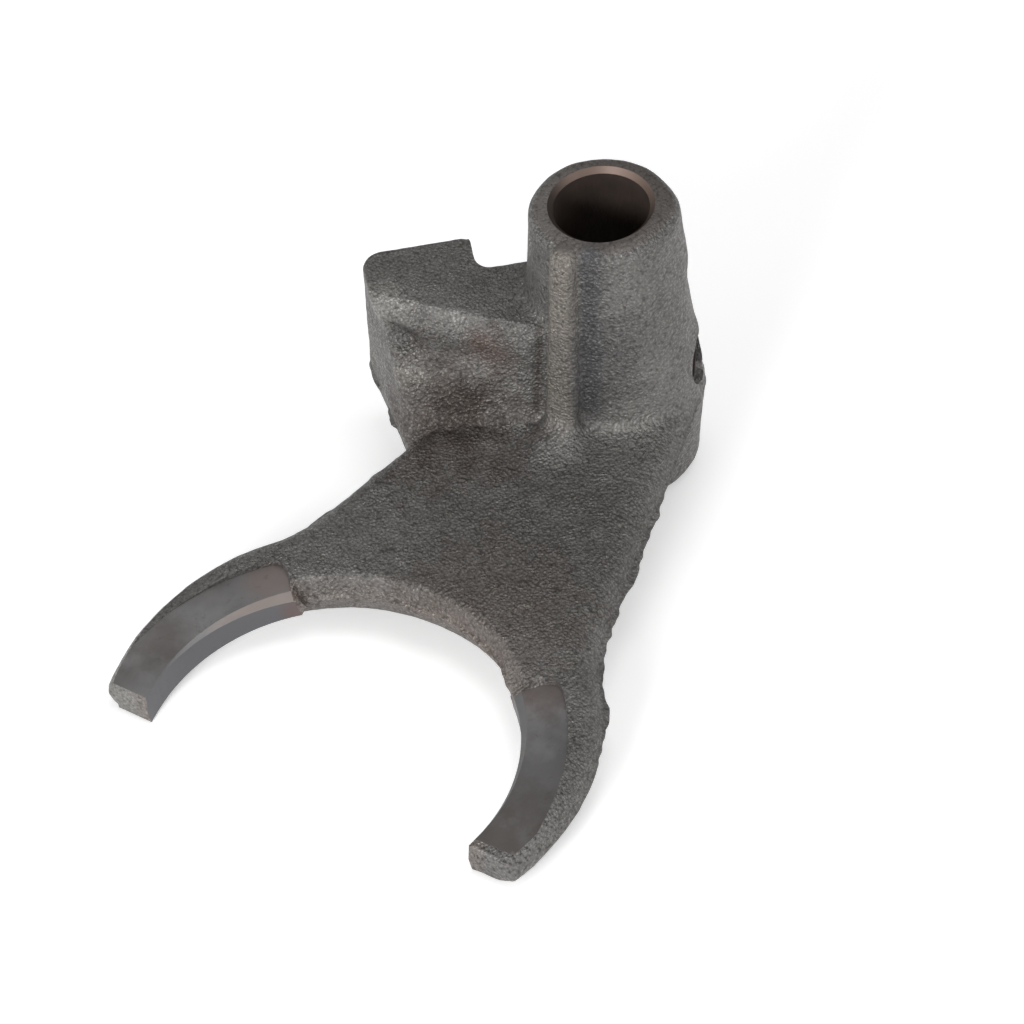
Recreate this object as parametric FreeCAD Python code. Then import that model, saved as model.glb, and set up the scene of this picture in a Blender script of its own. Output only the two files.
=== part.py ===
import FreeCAD, Part
import os
from math import asin, atan2, cos, degrees, hypot, pi, radians, sin, sqrt, tan

V = FreeCAD.Vector

# Power take-off shift fork: one casting, machined at the rail bore, the lock screw's hole and the pads
# of the tines. Millimetres and degrees. The rail's axis is +Z, the fork reaches along +X, and z = 0 is
# the mould's parting plane, which is also the middle plane of the web and the tines.

# Hub on the shift rail
rail_bore_dia = 20.0
bore_chamfer = 1.1
hub_rise = 53.7
hub_drop = 19.5
hub_belly_dia = 39.0
hub_upper_draft = 4.8
hub_lower_draft = 5.6
hub_top_round = 3.4
hub_bottom_round = 1.5

# Cross hole for the lock screw, square to the rail, in a low boss with a spot face
screw_hole_dia = 10.0
screw_hole_height = 9.5
screw_hole_azimuth = 115.0
screw_boss_dia = 16.0
screw_boss_stand = 0.4
screw_boss_draft = 15.0
spot_face_dia = 13.0
spot_face_radius = 17.5

# Web and tines
fork_reach = 114.0
web_thickness = 11.0
web_flare = 13.0
web_flare_round = 28.0
tine_width = 12.3
tine_outer_shift = 8.0
tine_tip_ahead = 8.0
tine_tip_round = 2.2
tine_end_draft = 8.0
flank_draft = 25.0
flank_round = 5.6
arc_draft = 11.0
arc_round = 1.2

# Machined pads that run in the sleeve's groove
pad_bore_dia = 78.0
pad_thickness = 8.0
pad_width = 9.5
pad_arc_half = 137.0
pad_corner_round = 3.0
pad_stock = 1.5
web_arc_step = 2.0
pad_chamfer = 0.3
pad_chamfer_shift = 1.8

# Stiffening rib down the front of the hub
rib_foot_radius = 23.6
rib_foot_width = 8.0
rib_top_radius = 17.4
rib_top_width = 5.6
rib_edge_round = 2.0
rib_top_round = 3.5
# Cast fillet around the rib's foot: how far it runs out to the sides and ahead, and how deep it is bedded
rib_fillet_side = 3.6
rib_fillet_ahead = 8.0
rib_fillet_sink = 0.08
# Levels of that fillet, as shares of its height
rib_fillet_levels = (0.0, 0.1, 0.3, 0.6, 0.9)

# Selector block beside the hub, in its own directions: along it, across it and up
block_turn = -49.7
block_height = 30.4
block_back = 20.4
block_reach = 49.6
block_draft = 2.3
block_end_round = 4.5
block_nose_round = 4.0
block_rim_round = 0.9
block_low_round = 3.5
block_root_azimuth = 4.0
block_root_sink = 1.0
# Front end corner of the block, bottom to top, as shares: of the height, of the back's distance from the
# rail's axis, and of the block's reach
block_front = ((0.0, 0.515, 0.933), (0.17, 0.38, 0.927), (0.27, 0.255, 0.923), (0.45, 0.1, 0.927),
               (0.68, -0.225, 0.944), (0.86, -0.245, 0.98), (0.95, -0.325, 0.996), (1.0, -0.44, 1.0))

# Notch in the selector block
notch_floor = 10.2
notch_wall = 26.1
notch_round = 3.5

# Cast fillet where the hub meets the web
web_fillet = 3.0

# How far a cutter runs past what it cuts, and how near counts as touching
clear = 30.0
tiny = 0.05
# Angle between two faces from which their edge counts as sharp
sharp_from = 8.0
# Where the untrimmed tines end, as seen from the two centres of their arcs
tine_uncut_outer = 60.0
tine_uncut_inner = 64.0

half_web = web_thickness / 2
half_pad = pad_thickness / 2
pad_bore_r = pad_bore_dia / 2
pad_outer_r = pad_bore_r + pad_width
tine_outer_r = pad_bore_r + tine_width
web_arc_r = pad_bore_r + web_arc_step
hub_belly_r = hub_belly_dia / 2
rail_axis = V(0, 0, 0)
up = V(0, 0, 1)
sleeve_axis = V(fork_reach, 0, 0)
tine_centre = V(fork_reach - tine_outer_shift, 0, 0)


def polar(centre, radius, angle):
    """Point at a radius and an angle about a centre in the parting plane."""
    return centre + V(cos(radians(angle)), sin(radians(angle)), 0) * radius


def line(start, end):
    """Straight edge between two points."""
    return Part.LineSegment(start, end).toShape()


def arc(centre, radius, start, end):
    """Arc about a centre from one angle to another, by way of the angle half-way between them."""
    points = [polar(centre, radius, angle) for angle in (start, (start + end) / 2, end)]
    return Part.Arc(*points).toShape()


def flipped(shape):
    """The same shape on the other side of the parting plane."""
    return shape.mirror(rail_axis, up)


def other_side(shape):
    """The same shape on the other side of the fork's long axis."""
    return shape.mirror(rail_axis, V(0, 1, 0))


def along_block(length, across, z):
    """Point given in the selector block's own directions."""
    return FreeCAD.Rotation(up, block_turn).multVec(V(length, across, z))


def at_height(edge, z):
    """True where an edge lies in the level plane at a height."""
    box = edge.BoundBox
    return abs(box.ZMin - z) < tiny and abs(box.ZMax - z) < tiny


def about_axis(edge, axis, radius):
    """True for a round edge about an upright axis, with a given radius."""
    if edge.Curve.TypeId != "Part::GeomCircle":
        return False
    centre = edge.Curve.Center
    return hypot(centre.x - axis.x, centre.y - axis.y) < tiny and abs(edge.Curve.Radius - radius) < tiny


def nearest_edge(shape, point):
    """The edge of a shape that passes nearest to a point."""
    mark = Part.Vertex(point)
    return min(shape.Edges, key=lambda e: e.distToShape(mark)[0])


def inward_edges(body, wanted):
    """Sharp inward edges of a body whose middle point passes a test."""
    found = []
    for edge in body.Edges:
        faces = body.ancestorsOfType(edge, Part.Face)
        if edge.Degenerated or len(faces) != 2:
            continue
        first, last = edge.ParameterRange
        middle = edge.valueAt((first + last) / 2)
        normals = [face.normalAt(*face.Surface.parameter(middle)) for face in faces]
        if not wanted(middle) or normals[0].getAngle(normals[1]) < radians(sharp_from):
            continue
        step = edge.tangentAt((first + last) / 2).cross(normals[0]).normalize() * tiny
        if faces[0].distToShape(Part.Vertex(middle + step))[0] > tiny / 2:
            step = step * -1.0
        if step.dot(normals[1]) > 0:
            found.append(edge)
    return found


def joined(body, other):
    """Two solids grown together into one, without seams on shared faces."""
    return body.fuse(other).removeSplitter().Solids[0]


def hub_radius(z):
    """Radius of the hub's drafted outside at a height."""
    draft = hub_upper_draft if z > 0 else hub_lower_draft
    return hub_belly_r - abs(z) * tan(radians(draft))


def make_hub():
    """Hub: a double cone, widest on the parting plane, with rounded rims."""
    outline = Part.makePolygon([
        V(0, 0, -hub_drop), V(hub_radius(-hub_drop), 0, -hub_drop), V(hub_belly_r, 0, 0),
        V(hub_radius(hub_rise), 0, hub_rise), V(0, 0, hub_rise), V(0, 0, -hub_drop)])
    hub = Part.Face(outline).revolve(rail_axis, up, 360)
    for height, radius in ((hub_rise, hub_top_round), (-hub_drop, hub_bottom_round)):
        rim = [e for e in hub.Edges if about_axis(e, rail_axis, hub_radius(height)) and at_height(e, height)]
        hub = hub.makeFillet(radius, rim)
    return hub.Solids[0]


def screw_axis(radius):
    """Point on the lock screw's axis at a distance from the rail's axis."""
    return polar(V(0, 0, screw_hole_height), radius, screw_hole_azimuth)


def make_boss():
    """Low boss around the lock screw's hole, which stands out most along its upper rim."""
    top = screw_hole_height + screw_boss_dia / 2
    skin = Part.makeCone(hub_belly_r - tiny, hub_radius(top) + screw_boss_stand, top)
    foot_r = screw_boss_dia / 2 + hub_belly_r * tan(radians(screw_boss_draft))
    outward = screw_axis(1) - screw_axis(0)
    stub = Part.makeCone(foot_r, screw_boss_dia / 2, hub_belly_r, screw_axis(0), outward)
    return skin.common(stub).Solids[0]


def flank_blend():
    """Centre of the hollow round between the web's flank and the tine, and its two tangent angles."""
    along = polar(rail_axis, 1.0, web_flare)
    start = polar(rail_axis, hub_belly_r + web_flare_round, 90.0 + web_flare)
    gap = start - tine_centre
    reach = tine_outer_r + web_flare_round
    run = gap.dot(along)
    centre = start - along * (run + sqrt(run * run - gap.dot(gap) + reach * reach))
    to_tine = tine_centre - centre
    return centre, web_flare - 90.0, degrees(atan2(to_tine.y, to_tine.x))


def fork_outline(z, flank_inset, arc_inset):
    """Closed outline of web and tines at a height, drawn in from the parting outline."""
    centre, line_angle, tine_angle = flank_blend()
    blend_r = web_flare_round + flank_inset
    outer_r = tine_outer_r - flank_inset
    inner_r = pad_bore_r - pad_stock + arc_inset
    arc_r = web_arc_r + arc_inset
    hub_r = hub_belly_r - flank_inset
    stop = pad_arc_half + degrees((half_web * tan(radians(flank_draft)) - flank_inset) / arc_r)
    tip, tip_inner = tine_uncut_outer, tine_uncut_inner
    half = [
        line(polar(rail_axis, hub_r, 90.0 + web_flare), polar(centre, blend_r, line_angle)),
        arc(centre, blend_r, line_angle, tine_angle),
        arc(tine_centre, outer_r, tine_angle + 180.0, tip),
        line(polar(tine_centre, outer_r, tip), polar(sleeve_axis, inner_r, tip_inner)),
        arc(sleeve_axis, inner_r, tip_inner, stop),
        line(polar(sleeve_axis, inner_r, stop), polar(sleeve_axis, arc_r, stop))]
    edges = half + [other_side(e) for e in half]
    edges.append(arc(sleeve_axis, arc_r, stop, 360.0 - stop))
    edges.append(arc(rail_axis, hub_r, 90.0 + web_flare, 270.0 - web_flare))
    wire = Part.Wire(Part.__sortEdges__(edges))
    wire.translate(V(0, 0, z))
    return wire


def tip_cutter():
    """What is cut off past the end of one tine, leaving a drafted end with a rounded outer corner."""
    sections = []
    for z in (0.0, half_web):
        inset = z * tan(radians(tine_end_draft))
        end = fork_reach + tine_tip_ahead - inset
        corner_r = tine_tip_round - inset
        along = end - corner_r - tine_centre.x
        corner = V(end - corner_r, sqrt((tine_outer_r - tine_tip_round) ** 2 - along ** 2), 0)
        lean = degrees(atan2(corner.y, along))
        out = polar(corner, clear, lean)
        far = V(end + clear, corner.y + clear, 0)
        wire = Part.Wire([
            line(V(end, 0, 0), V(end, corner.y, 0)),
            arc(corner, corner_r, 0.0, lean),
            line(polar(corner, corner_r, lean), out),
            line(out, far),
            line(far, V(far.x, 0, 0)),
            line(V(far.x, 0, 0), V(end, 0, 0))])
        wire.translate(V(0, 0, z))
        sections.append(wire)
    return Part.makeLoft(sections, True, True)


def make_fork():
    """Web and tines as cast: two mirrored mould halves with drafted flanks and rounded edges."""
    flank_inset = half_web * tan(radians(flank_draft))
    arc_inset = half_web * tan(radians(arc_draft))
    upper = Part.makeLoft([fork_outline(0, 0, 0), fork_outline(half_web, flank_inset, arc_inset)],
                          True, True)
    rounds = ((tine_centre, tine_outer_r - flank_inset, flank_round),
              (sleeve_axis, web_arc_r + arc_inset, arc_round))
    for axis, radius, size in rounds:
        rim = [e for e in upper.Edges if at_height(e, half_web) and about_axis(e, axis, radius)]
        upper = upper.makeFillet(size, rim[:1])
    upper = upper.cut(tip_cutter()).cut(other_side(tip_cutter()))
    return joined(upper, flipped(upper))


def machine_pads(fork):
    """Bore of the tines, pad recesses on both faces and bore chamfers that run out towards the tips."""
    fork = fork.cut(Part.makeCylinder(pad_bore_r, 2 * clear, sleeve_axis - V(0, 0, clear)))
    first, last = (polar(sleeve_axis, pad_outer_r, angle) for angle in (-pad_arc_half, pad_arc_half))
    sector = Part.Wire([line(sleeve_axis, first), arc(sleeve_axis, pad_outer_r, -pad_arc_half, pad_arc_half),
                        line(last, sleeve_axis)])
    recess = Part.Face(sector).extrude(V(0, 0, clear))
    corners = [nearest_edge(recess, corner + V(0, 0, clear / 2)) for corner in (first, last)]
    recess = recess.makeFillet(pad_corner_round, corners)
    recess.translate(V(0, 0, half_pad))
    mouth_r = pad_bore_r + pad_chamfer
    centre = sleeve_axis - V(pad_chamfer_shift, 0, 0)
    chamfer = Part.makeCone(mouth_r - half_pad, mouth_r, half_pad, centre)
    chamfer = joined(chamfer, Part.makeCylinder(mouth_r, half_web, centre + V(0, 0, half_pad)))
    for cutter in (recess, chamfer):
        fork = fork.cut(cutter).cut(flipped(cutter))
    return fork.Solids[0]


def rounded_wire(points, radii):
    """Closed wire through points in one level plane, with a rounded corner wherever a radius is given."""
    corners = []
    for i, corner in enumerate(points):
        back = (points[i - 1] - corner).normalize()
        ahead = (points[(i + 1) % len(points)] - corner).normalize()
        half_angle = back.getAngle(ahead) / 2
        run = radii[i] / tan(half_angle)
        middle = corner + (back + ahead).normalize() * (radii[i] / sin(half_angle) - radii[i])
        corners.append((corner + back * run, middle, corner + ahead * run))
    edges = []
    for i, (start, middle, end) in enumerate(corners):
        if radii[i] > 0:
            edges.append(Part.Arc(start, middle, end).toShape())
        edges.append(line(end, corners[(i + 1) % len(points)][0]))
    return Part.Wire(edges)


def end_corner(nose, back, reach):
    """Where the block's back and end walls meet if the round between them reaches out as far as given."""
    gap = V(reach - block_end_round, back + block_end_round, 0) - nose
    lean = atan2(gap.x, -gap.y) + asin(block_end_round / gap.Length)
    return V(nose.x + (nose.y - back) * tan(lean), back, 0)


def block_section(z, nose, nose_end):
    """Outline of the selector block at a height, given where its front end corner stands."""
    spread = (block_height - z) * tan(radians(block_draft))
    back = -block_back - spread
    nose = V(nose_end, nose, 0)
    root = polar(rail_axis, hub_radius(z) - block_root_sink, block_root_azimuth - block_turn)
    points = [rail_axis, V(0, back, 0), end_corner(nose, back, block_reach + spread), nose, root]
    wire = rounded_wire(points, (0.0, 0.0, block_end_round, block_nose_round, 0.0))
    wire.translate(V(0, 0, z))
    wire.rotate(rail_axis, up, block_turn)
    return wire


def make_notch():
    """Cutter for the notch: open at the block's back, with one rounded inner corner."""
    open_side = -block_back - clear
    points = [(-clear, open_side), (notch_wall, open_side),
              (notch_wall, -notch_floor), (-clear, -notch_floor)]
    outline = Part.makePolygon([along_block(u, n, -clear) for u, n in points + points[:1]])
    cutter = Part.Face(outline).extrude(V(0, 0, block_height + 2 * clear))
    return cutter.makeFillet(notch_round, [nearest_edge(cutter, along_block(notch_wall, -notch_floor, 0))])


def make_block():
    """Selector block: hollow-waisted above the parting plane, rounded below it, with its notch."""
    sections = [block_section(block_height * rise, block_back * across, block_reach * along)
                for rise, across, along in block_front]
    block = Part.makeLoft(sections, True, False)
    block = block.makeFillet(block_rim_round, [e for e in block.Edges if at_height(e, block_height)])
    foot = min(block.Faces, key=lambda f: f.CenterOfMass.z)
    lower = foot.extrude(V(0, 0, -half_web))
    lower = lower.makeFillet(block_low_round, [e for e in lower.Edges if at_height(e, -half_web)])
    return joined(block, lower).cut(make_notch()).Solids[0]


def rib_size(z):
    """How far the rib's ridge stands from the rail's axis at a height, and its half width there."""
    share = z / hub_rise
    ridge = rib_foot_radius + (rib_top_radius - rib_foot_radius) * share
    return ridge, (rib_foot_width + (rib_top_width - rib_foot_width) * share) / 2


def make_rib():
    """Rib down the front of the hub: a leaning ridge with rounded edges, wider towards its foot."""
    foot_x, foot = rib_size(0)
    top_x, head = rib_size(hub_rise)
    top = V(top_x, 0, hub_rise)
    profile = Part.Face(Part.makePolygon([rail_axis, V(foot_x, 0, 0), top, V(0, 0, hub_rise), rail_axis]))
    profile.translate(V(0, -foot, 0))
    wedge = Part.Face(Part.makePolygon([
        V(0, -foot, 0), V(0, foot, 0), V(0, head, hub_rise), V(0, -head, hub_rise), V(0, -foot, 0)]))
    rib = profile.extrude(V(0, 2 * foot, 0)).common(wedge.extrude(V(foot_x, 0, 0)))
    rib = rib.makeFillet(rib_top_round, [nearest_edge(rib, top)])
    ridge_x, side = rib_size(hub_rise / 2)
    ridges = [nearest_edge(rib, V(ridge_x, y, hub_rise / 2)) for y in (-side, side)]
    return rib.makeFillet(rib_edge_round, ridges).Solids[0]


def make_rib_foot():
    """Cast fillet around the rib's foot: a quarter round that runs out further ahead than to the sides."""
    sections = []
    for share in rib_fillet_levels:
        z = half_web + share * rib_fillet_side
        spread = 1 - sqrt(1 - (1 - share) ** 2)
        ridge, side = rib_size(z)
        ridge += spread * rib_fillet_ahead - rib_fillet_sink
        side += spread * rib_fillet_side - rib_fillet_sink
        corner = rib_edge_round + spread * rib_fillet_side
        points = [V(0, -side, z), V(ridge, -side, z), V(ridge, side, z), V(0, side, z)]
        sections.append(rounded_wire(points, (0.0, corner, corner, 0.0)))
    return Part.makeLoft(sections, True, False)


def machine_hub(body):
    """Rail bore with a chamfer at each end, and the lock screw's cross hole with its spot face."""
    bore_r = rail_bore_dia / 2
    mouth_r = bore_r + bore_chamfer
    outward = screw_axis(1) - screw_axis(0)
    cutters = [
        Part.makeCylinder(bore_r, hub_rise + hub_drop + 2 * clear, V(0, 0, -hub_drop - clear)),
        Part.makeCone(bore_r, mouth_r, bore_chamfer, V(0, 0, hub_rise - bore_chamfer)),
        Part.makeCone(mouth_r, bore_r, bore_chamfer, V(0, 0, -hub_drop)),
        Part.makeCylinder(screw_hole_dia / 2, clear, screw_axis(0), outward),
        Part.makeCylinder(spot_face_dia / 2, clear, screw_axis(spot_face_radius), outward)]
    for cutter in cutters:
        body = body.cut(cutter).Solids[0]
    return body


def make_shift_fork():
    """The whole casting, machined."""
    body = joined(machine_pads(make_fork()), make_hub())
    near_hub = tine_centre.x / 2
    above = inward_edges(body, lambda p: p.x < near_hub and p.z > 0)
    body = body.makeFillet(web_fillet, above).Solids[0]
    below = inward_edges(body, lambda p: p.x < near_hub and p.z < tiny - half_web)
    body = body.makeFillet(web_fillet, below).Solids[0]
    for piece in (make_block(), make_rib(), make_rib_foot()):
        body = joined(body, piece)
    return machine_hub(joined(body, make_boss()))


os.makedirs("parts", exist_ok=True)
shift_fork = make_shift_fork()
shift_fork.exportStep("parts/shift_fork.step")
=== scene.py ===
from math import atan2, copysign, cos, degrees, hypot, radians, sin

import bmesh
import bpy
from mathutils import Matrix, Vector, noise


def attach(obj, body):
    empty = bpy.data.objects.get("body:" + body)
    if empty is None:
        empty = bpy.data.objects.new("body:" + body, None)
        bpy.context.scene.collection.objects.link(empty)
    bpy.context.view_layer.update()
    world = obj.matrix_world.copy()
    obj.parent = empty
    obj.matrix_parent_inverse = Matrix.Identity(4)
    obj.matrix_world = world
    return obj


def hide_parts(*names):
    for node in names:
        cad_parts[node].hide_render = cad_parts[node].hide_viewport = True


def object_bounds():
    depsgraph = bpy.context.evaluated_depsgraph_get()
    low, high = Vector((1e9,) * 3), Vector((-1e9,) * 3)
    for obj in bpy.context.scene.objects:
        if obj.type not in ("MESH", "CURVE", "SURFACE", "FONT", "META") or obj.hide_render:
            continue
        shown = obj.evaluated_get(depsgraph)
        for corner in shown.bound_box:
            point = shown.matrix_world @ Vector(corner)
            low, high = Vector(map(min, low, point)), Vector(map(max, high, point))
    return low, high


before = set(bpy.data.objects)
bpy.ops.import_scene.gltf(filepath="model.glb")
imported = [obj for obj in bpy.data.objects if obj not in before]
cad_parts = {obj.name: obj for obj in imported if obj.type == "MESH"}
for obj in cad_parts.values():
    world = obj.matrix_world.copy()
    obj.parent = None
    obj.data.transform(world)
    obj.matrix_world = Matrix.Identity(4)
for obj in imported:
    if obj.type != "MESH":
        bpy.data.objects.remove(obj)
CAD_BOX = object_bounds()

bl_info = {
    "name": "Power take-off shift fork",
    "version": (1, 0, 0),
    "blender": (4, 5, 0),
    "location": "3D View > Sidebar > Shift Fork",
    "description": "Dresses the cast shift fork and sets up its studio",
    "category": "Object",
}

MM = 0.001
NODE = "shift_fork"
CAST, MACHINED, BORED, CHAMFERED = range(4)

# All lengths below are in millimetres, and all angles in degrees, unless a comment says otherwise.

# The casting's own sizes, as the CAD part has them
HUB_TOP, HUB_LOW = 53.7, -19.5
BORE_R, BORE_CHAMFER = 10.0, 1.1
HOLE_R, HOLE_Z, HOLE_AZIMUTH = 5.0, 9.5, 115.0
SPOT_R, SPOT_FACE = 6.5, 17.5
SLEEVE_X = 114.0
PAD_R, PAD_OUTER_R, PAD_HALF, PAD_ARC, PAD_CHAMFER_REACH = 39.0, 48.5, 4.0, 137.0, 2.6
BLOCK_FRONT = Vector((0.7627, 0.6468, 0.0))
CORNER_TOP, CORNER_FOOT = Vector((1.3, -33.12, 29.54)), Vector((0.39, -33.89, 0.0))

# Ends of the machined faces near the tines' tips
PAD_END_LEFT, PAD_END_RIGHT = 121.4, 119.8
PAD_END_ROUND, PAD_END_WIDE, PAD_END_DRAFT = 3.5, 46.5, 0.2

# How near a face has to lie to a surface of the part to belong to it
CLOSE, HOLE_SLACK, BORE_SLACK = 0.05, 0.1, 0.08
PAD_SLACK, PAD_OUTER_SLACK, PAD_ARC_SLACK = 0.15, 0.3, 1.0
HOLE_START = 0.8 * BORE_R
# Upright share of a face's normal for upright, tilted and level faces
UPRIGHT, TILT_LOW, TILT_HIGH, LEVEL = 0.2, 0.4, 0.9, 0.95
# Share of a face's normal along the cross hole, below which it is the hole's wall
HOLE_WALL = 0.5

# Longest edges: of the whole part, of the cast skin, at the parting line, and at tips and corner
EDGE_LIMITS, SKIN_EDGE, PARTING_EDGES, DETAIL_EDGE = (12.0, 6.0, 3.4), 2.1, (1.0, 0.8), 1.0
EDGE_PASSES = 3
MERGE_GAP, FLAT_ANGLE, SHARP_ANGLE = 0.002, 1.5, 32.0
TIP_X, TIP_Y = 111.0, 37.0
PARTING_HALF, PARTING_SLOPE = 1.3, 0.75

# Softening of the hollow corners in front of the notch
SOFT_ANGLE, SOFT_RINGS, SOFT_ROUNDS, SOFT_BEHIND, RELAX = 14.0, 1, 5, -8.0, 0.5

# Corners that are worn round: from, to, radius, rounds of relaxing
WORN = (
    ((24.4, -11.0, 6.0), (21.0, -6.5, 10.0), 5.0, 14),
    ((32.6, -27.2, 6.4), (24.4, -11.0, 6.0), 3.5, 6),
    ((22.0, 2.0, 6.5), (14.0, 17.0, 6.5), 4.0, 10),
    ((29.0, 0.0, 5.5), (24.0, 3.0, 5.5), 4.0, 6),
    ((121.0, 49.5, -5.0), (121.0, 49.5, 5.0), 6.5, 12),
    ((121.0, -49.5, -5.0), (121.0, -49.5, 5.0), 6.0, 8),
    ((121.0, 40.0, 5.0), (121.0, 49.0, 5.0), 3.0, 6),
    ((121.0, -40.0, 5.0), (121.0, -49.0, 5.0), 3.0, 4),
    ((121.0, 40.0, -5.0), (121.0, 49.0, -5.0), 3.0, 6),
    ((121.0, -40.0, -5.0), (121.0, -49.0, -5.0), 3.0, 6),
)
# Share by which a worn place narrows over its rounds
WORN_NARROWS = 0.5

# Swollen and dented places of the skin: from, to, radius, height along the skin's normal
UNEVEN = (
    ((26.0, -34.5, 24.5), (20.0, -10.0, 25.0), 6.0, 0.5),
    ((24.2, -27.0, 20.5), (20.4, -11.0, 20.5), 7.5, 0.9),
    ((25.8, -34.6, 20.8), (26.3, -37.0, 23.0), 5.0, -1.8),
    ((29.2, -31.9, 15.1), (29.2, -31.9, 15.1), 5.5, 1.3),
    ((24.0, -18.0, 16.0), (24.0, -18.0, 16.0), 6.0, 0.4),
    ((30.0, -38.0, 12.0), (30.0, -38.0, 12.0), 4.0, -0.4),
    ((-8.6, 16.2, 16.5), (-8.6, 16.2, 16.5), 3.5, 0.3),
    ((25.5, 0.0, 6.0), (25.0, 3.5, 6.0), 7.0, 0.9),
    ((-8.0, 13.4, 51.0), (-8.8, 14.8, 40.0), 10.0, 1.0),
)
# Waves per millimetre of the skin's slow and short unevenness, and where the short one starts
SWELL_WAVES, LUMP_WAVES, LUMP_START = 0.12, 0.5, Vector((7, 3, 1))

# Notch's outer corner: its round, and how far around it the skin is divided and moved
CORNER_R, CORNER_DIVIDED, CORNER_MOVED = 2.0, 1.6, 1.2

# Web's arc beside the right pad: the skin that is led into the pad's bore
ROOT_ANGLE, ROOT_FADE, ROOT_DEPTH, ROOT_HALF = 155.0, 13.0, 4.0, 5.0
ROOT_SHARE, ROOT_CLEARANCE = 0.9, 0.1

# Left tine's cast edge beside its pad: where it starts to be lower, and by which share
STEP_X, STEP_FADE, STEP_Y, STEP_SHARE = 84.0, 12.0, -20.0, 0.8

# Remains of the flash: half width, least turn outwards, and end before the tines' tips
FLASH_HALF, FLASH_TURN, FLASH_END = 0.7, 0.6, SLEEVE_X - 10.0
# Height of the flash: a middle value, and the shares and waves per millimetre of two noises
FLASH_MIDDLE, FLASH_LONG, FLASH_SHORT, FLASH_LEAST = 0.45, (1.1, 0.12), (0.6, 0.4), 0.1
# Flash is lower behind one x and beyond another: share that stays, start and fade of each
FLASH_CALM, FLASH_HUB, FLASH_TINES = 0.25, (18.0, 8.0), (88.0, 10.0)

# Grain: texture scales of its patterns, their shares in the height, and ranges of its masks
GRAIN_MEDIUM, GRAIN_FINE, GRAIN_CELLS = 1000.0, 2900.0, 1450.0
GRAIN_BEND, GRAIN_CLUMPS = 2200.0, 260.0
MEDIUM_SHARE, FINE_SHARE, CELL_SHARE, BEND_SHARE = 0.35, 0.35, 0.45, 0.0005
TIPS_RANGE, PITS_RANGE, CLUMP_RANGE, CLUMP_HEIGHTS = (0.60, 0.72), (0.52, 0.40), (0.35, 0.65), (0.7, 1.3)

# Patches: texture scales, raggedness of a spot's edge, and ranges of the masks
RAGGED_SCALE, RAGGED_SHARE, CLOUD_SCALE = 150.0, 1.6, 75.0
SPOT_RANGE, CLOUD_RANGE = (1.1, 0.35), (0.32, 0.68)

# Spots of the cast skin: place and radius
SKIN_SPOTS = {
    "block_foot_stain_and_shade": ((33.0, -21.0, 9.0), 20.0),
    "block_face": ((22.0, -16.5, 22.0), 7.0),
    "block_low": ((30.0, -20.0, 10.0), 9.0),
    "hub_shade": ((17.0, 9.0, 26.0), 13.0),
    "web_arc_brown_and_lit": ((72.0, 12.0, 0.0), 24.0),
    "web_middle": ((54.0, 10.0, 5.5), 30.0),
    "bulge_highlight": ((29.2, -32.0, 15.0), 6.0),
    "lip_highlight": ((25.5, -38.5, 28.0), 8.0),
    "dent": ((25.8, -35.6, 22.0), 4.5),
    "fillet_highlight": ((13.5, 12.5, 7.2), 8.0),
    "left_end_highlight": ((121.5, -44.0, 0.0), 7.0),
    "pad_edge": ((84.6, -27.6, 3.0), 4.0),
}
# Tones of the cast skin, laid over each other in this order: mask, how full, colour
SKIN_TONES = (
    ("web_middle", 0.65, (82, 79, 77)),
    ("hub_top", 0.7, (94, 87, 83)),
    ("hub_top_left", 0.7, (126, 123, 120)),
    # Painted highlight on the fillet between the hub and the web
    ("fillet_highlight", 0.5, (134, 132, 129)),
    # Painted light on the rib's face, and painted shade on its flank beside the hub
    ("rib", 0.65, (132, 126, 118)),
    ("shaded_rib_flank", 0.75, (70, 71, 75)),
    # Painted highlights on the bulge and on the block's lip
    ("bulge_highlight", 0.6, (146, 144, 139)),
    ("lip_highlight", 0.65, (144, 143, 139)),
    # Painted highlight on the left tine's end
    ("left_end_highlight", 0.5, (140, 138, 134)),
    # Painted shade in the dent
    ("dent", 0.5, (60, 58, 57)),
    # Brown stain at the block's foot, darkened further as painted shade
    ("block_foot_stain_and_shade", 0.68, (72, 62, 57)),
    ("block_face", 0.45, (98, 76, 68)),
    ("block_low", 0.6, (54, 46, 42)),
    ("hub_shade", 0.4, (80, 80, 82)),
    # Brown tone on the web's arc with painted light on it, and painted light on the arc's wall
    ("web_arc_brown_and_lit", 0.4, (110, 100, 94)),
    ("lit_arc_wall", 0.45, (130, 119, 112)),
    ("pad_edge", 0.6, (80, 64, 57)),
    # Painted shade in the crease between the block and the rib
    ("shaded_crease", 0.6, (54, 46, 42)),
)
# Edges of the skin's masks: the values at which each is 0 and 1
TOP_FADE, TOP_LEFT_FADE, TOP_LEFT_WAY = (HUB_TOP - 1.0, HUB_TOP - 0.2), (0.0, 14.0), (0.517, -0.853, 0.0)
TINE_FADE, RIGHT_FADE, LEFT_TIP_FADE = (84.0, 92.0), (0.0, 10.0), (119.5, 118.5)
BESIDE_PAD_FADE, LIT_ARC_WALL_FADE = (51.5, 49.0), (42.5, 40.5)
ABOVE_WEB_FADE = (7.0, 12.0)
# Rib's face, where light is painted, and its flank, where shade is painted
RIB_Y, RIB_FADE, RIB_FRONT_FADE = 0.2, (4.2, 3.0), (14.0, 15.5)
FLANK_Y, FLANK_FADE, FLANK_FRONT_FADE = 5.2, (3.4, 1.0), (10.0, 12.5)
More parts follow.
